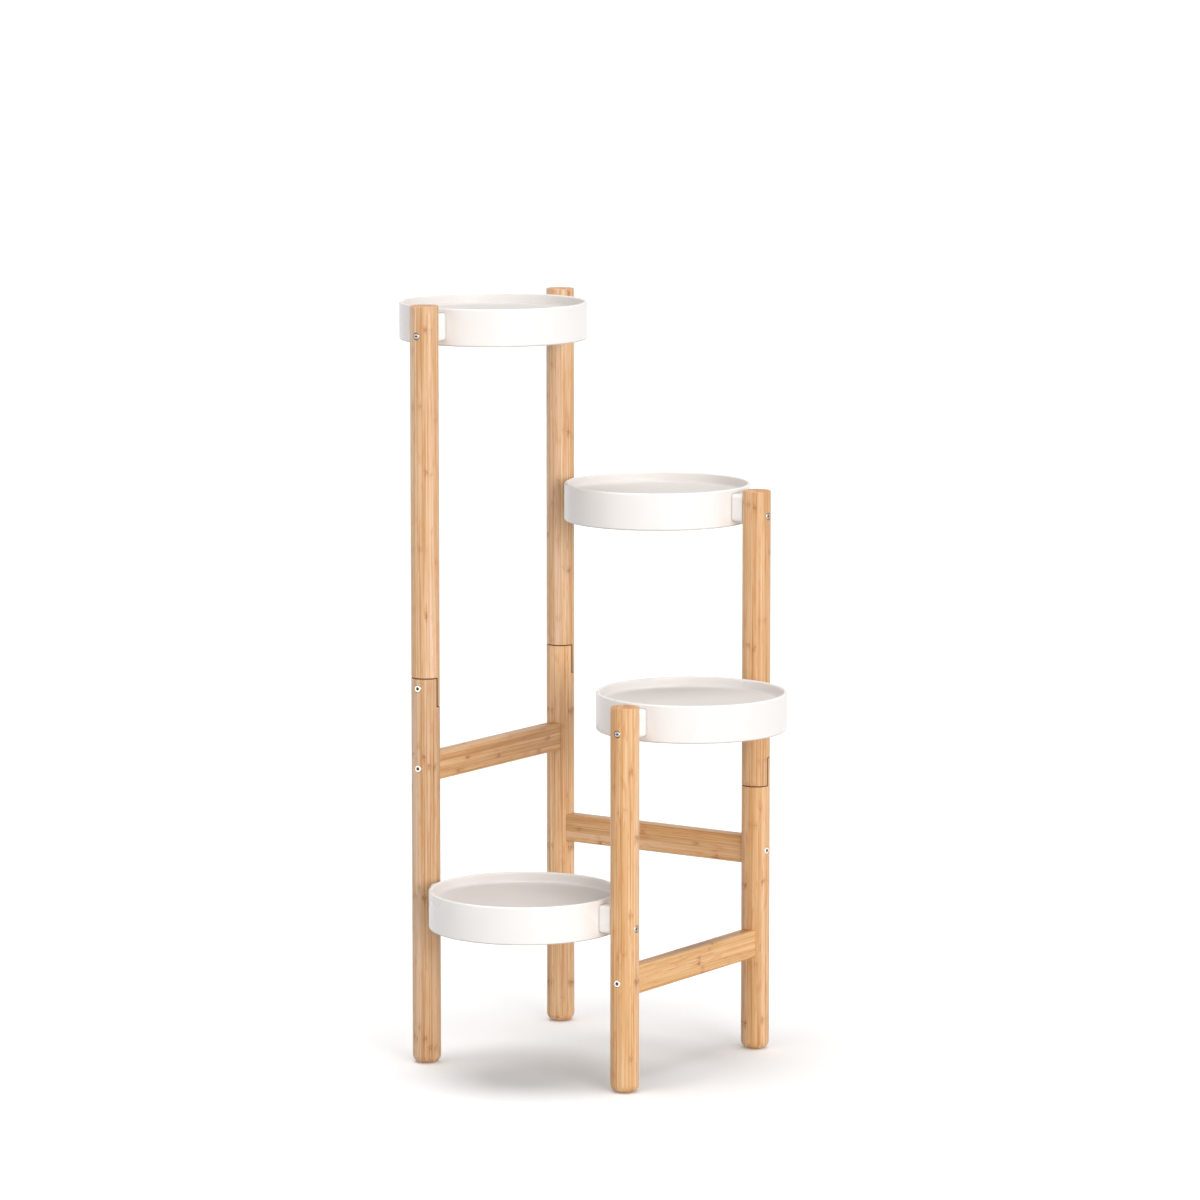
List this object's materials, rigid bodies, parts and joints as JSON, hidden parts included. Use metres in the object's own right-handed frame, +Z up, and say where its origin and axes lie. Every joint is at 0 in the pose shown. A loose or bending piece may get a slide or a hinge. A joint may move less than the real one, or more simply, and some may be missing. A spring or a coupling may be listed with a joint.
{
  "type": "tiered plant stand",
  "caption": "Free-standing stepped plant stand: round white trays spiral down a square of round bamboo legs tied by crossbars.",
  "frame": {"origin": "on the floor at the centre of the square of legs", "axes": "+Z up; +Y from the lowest tray's side (front) to the second tray's side (back); +X from the highest tray's side to the third tray's side"},
  "size_m": [0.495, 0.495, 0.882],
  "materials": {
    "bamboo": "laminated bamboo, clear satin lacquer",
    "bamboo_bar": "laminated bamboo, clear satin lacquer, grain along the bar",
    "white_plastic": "warm white, soft gloss",
    "bolt_nickel": "bright nickel plate",
    "insert_zinc": "zinc plate",
    "screw_zinc": "blue zinc plate"
  },
  "bodies": {
    "root": {"front_left_leg_lower": "bamboo", "front_left_leg_upper": "bamboo", "back_left_leg_lower": "bamboo", "back_left_leg_upper": "bamboo", "back_right_leg_lower": "bamboo", "back_right_leg_upper": "bamboo", "front_right_leg": "bamboo", "left_crossbar": "bamboo_bar", "back_crossbar": "bamboo_bar", "right_crossbar": "bamboo_bar", "top_tray": "white_plastic", "second_tray": "white_plastic", "third_tray": "white_plastic", "bottom_tray": "white_plastic", "left_crossbar_bolts": "bolt_nickel", "left_crossbar_inserts": "insert_zinc", "back_crossbar_bolts": "bolt_nickel", "back_crossbar_inserts": "insert_zinc", "right_crossbar_bolts": "bolt_nickel", "right_crossbar_inserts": "insert_zinc", "front_left_lap_bolt": "bolt_nickel", "front_left_lap_insert": "insert_zinc", "back_left_lap_bolt": "bolt_nickel", "back_left_lap_insert": "insert_zinc", "back_right_lap_bolt": "bolt_nickel", "back_right_lap_insert": "insert_zinc", "top_tray_screws": "screw_zinc", "second_tray_screws": "screw_zinc", "third_tray_screws": "screw_zinc", "bottom_tray_screws": "screw_zinc"}
  },
  "joints": []
}
